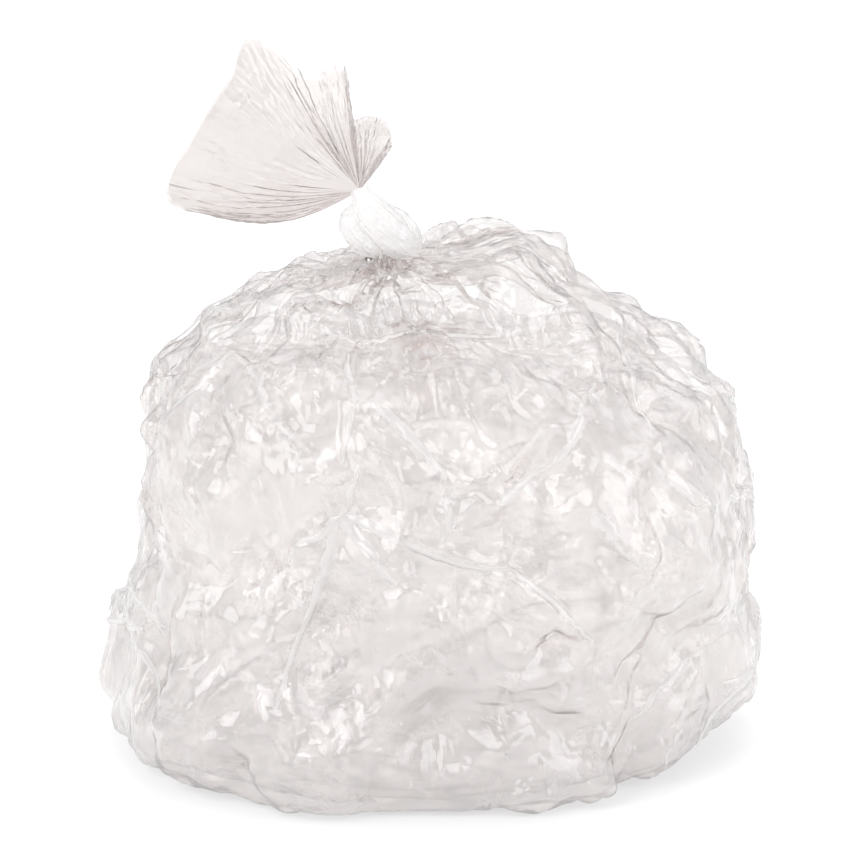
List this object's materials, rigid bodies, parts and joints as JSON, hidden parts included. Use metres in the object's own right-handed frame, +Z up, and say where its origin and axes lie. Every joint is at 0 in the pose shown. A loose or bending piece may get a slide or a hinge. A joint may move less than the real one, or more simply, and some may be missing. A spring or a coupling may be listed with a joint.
{
  "type": "filled clear poly bag",
  "caption": "Standing bag of thin clear film, bulging over a crumpled film filling, gathered at the top and closed by a knot in its own neck, with the loose end flaring out.",
  "frame": {"origin": "middle of the flat base, on the floor the bag stands on", "axes": "+Z up through the knot, +X to the right and -Y towards the front, from which the tail points to the left"},
  "size_m": [0.5046, 0.435, 0.5323],
  "materials": {
    "clear_film": "thin natural polyethylene film, glossy and finely crinkled",
    "crumpled_film": "loosely crumpled natural polyethylene film"
  },
  "bodies": {
    "root": {"bag": "clear_film", "fill": "crumpled_film"}
  },
  "joints": []
}
